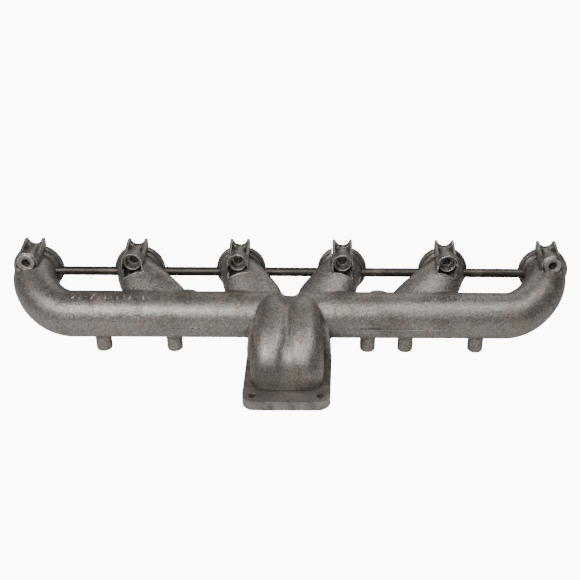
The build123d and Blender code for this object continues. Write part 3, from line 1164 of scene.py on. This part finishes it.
def floor_paint(stage):
    """Pale matt floor that glows to the camera alone, so that it reads as an even white."""
    material = bpy.data.materials.new("pale_floor")
    material.use_nodes = True
    tree = material.node_tree
    shader = tree.nodes["Principled BSDF"]
    shader.inputs["Base Color"].default_value = (stage.floor_tone,) * 3 + (1,)
    shader.inputs["Roughness"].default_value = 0.9
    glow = tree.nodes.new("ShaderNodeEmission")
    glow.inputs["Color"].default_value = (1, 1, 1, 1)
    glow.inputs["Strength"].default_value = stage.floor_glow
    path = tree.nodes.new("ShaderNodeLightPath")
    mix = tree.nodes.new("ShaderNodeMixShader")
    tree.links.new(path.outputs["Is Camera Ray"], mix.inputs["Fac"])
    tree.links.new(shader.outputs["BSDF"], mix.inputs[1])
    tree.links.new(glow.outputs["Emission"], mix.inputs[2])
    tree.links.new(mix.outputs["Shader"], tree.nodes["Material Output"].inputs["Surface"])
    return material


def studio_air(stage):
    """Dim even light from all round; behind the object it is as white as the floor."""
    world = bpy.data.worlds.new("studio")
    world.use_nodes = True
    tree = world.node_tree
    path = tree.nodes.new("ShaderNodeLightPath")
    level = tree.nodes.new("ShaderNodeMath")
    level.operation = "MULTIPLY_ADD"
    level.inputs[1].default_value = stage.floor_glow
    level.inputs[2].default_value = stage.air
    background = tree.nodes["Background"]
    background.inputs["Color"].default_value = (1, 1, 1, 1)
    tree.links.new(path.outputs["Is Camera Ray"], level.inputs[0])
    tree.links.new(level.outputs["Value"], background.inputs["Strength"])
    return world


class MANIFOLD_OT_stage(bpy.types.Operator):
    """Lays the floor and sets up the soft lights and the camera"""

    bl_idname = "manifold.stage"
    bl_label = "Stage"

    def execute(self, context):
        stage = context.scene.manifold_stage
        deselect()
        bpy.ops.mesh.primitive_plane_add(size=14, location=(0, 0, PLATE_LOW.z))
        floor = settle(named("floor"))
        floor.data.materials.append(floor_paint(stage))
        softbox("key", (-0.50, -0.92, 0.90), (0, -0.1, -0.05), 1.2, 0.35, stage.key_power)
        softbox("fill", (0.5, -0.4, 1.25), (0.1, -0.1, -0.05), 0.9, 0.35, stage.fill_power)
        softbox("rim", (0.3, 1.1, 0.9), (0, -0.05, -0.03), 1.4, 0.4, stage.rim_power)
        context.scene.world = studio_air(stage)
        turn = Matrix.Rotation(stage.turn, 4, "Z")
        tilt = Matrix.Rotation(math.pi / 2 - stage.tilt, 4, "X")
        roll = Matrix.Rotation(stage.roll, 4, "Z")
        bpy.ops.object.camera_add(location=stage.eye, rotation=(turn @ tilt @ roll).to_euler())
        camera = bpy.context.object
        camera.name = "camera"
        camera.data.sensor_width = 36
        camera.data.lens = stage.lens
        camera.data.shift_x, camera.data.shift_y = stage.shift
        camera.data.clip_start = 0.01
        camera.data.dof.use_dof = False
        context.scene.camera = camera
        return {"FINISHED"}


class MANIFOLD_PT_panel(bpy.types.Panel):
    """Lists the build steps and their settings"""

    bl_label = "Exhaust Manifold"
    bl_space_type = "VIEW_3D"
    bl_region_type = "UI"
    bl_category = "Manifold"

    def draw(self, context):
        scene = context.scene
        for settings in (scene.manifold_sizes, scene.manifold_finish, scene.manifold_stage):
            box = self.layout.box()
            for key in settings.__annotations__:
                box.prop(settings, key)
        for step in BUILD_STEPS:
            self.layout.operator(step.bl_idname)


BUILD_STEPS = (
    MANIFOLD_OT_stage,
    MANIFOLD_OT_body,
    MANIFOLD_OT_port_flanges,
    MANIFOLD_OT_turbo_flange,
    MANIFOLD_OT_tie_bars,
)
SETTINGS = (ManifoldSizes, ManifoldFinish, ManifoldStage)


def register():
    for group in (*SETTINGS, *BUILD_STEPS, MANIFOLD_PT_panel):
        bpy.utils.register_class(group)
    bpy.types.Scene.manifold_sizes = bpy.props.PointerProperty(type=ManifoldSizes)
    bpy.types.Scene.manifold_finish = bpy.props.PointerProperty(type=ManifoldFinish)
    bpy.types.Scene.manifold_stage = bpy.props.PointerProperty(type=ManifoldStage)


def unregister():
    del bpy.types.Scene.manifold_stage
    del bpy.types.Scene.manifold_finish
    del bpy.types.Scene.manifold_sizes
    for group in reversed((*SETTINGS, *BUILD_STEPS, MANIFOLD_PT_panel)):
        bpy.utils.unregister_class(group)


def main():
    register()
    tones = bpy.context.scene.manifold_finish
    materials["cast_iron"] = cast_iron(tones)
    materials["machined_iron"] = machined_iron(tones)
    materials["tie_bar_steel"] = bar_steel(tones)
    for step in BUILD_STEPS:
        group, name = step.bl_idname.split(".")
        getattr(getattr(bpy.ops, group), name)()
    deselect()


if __name__ == "__main__":
    main()
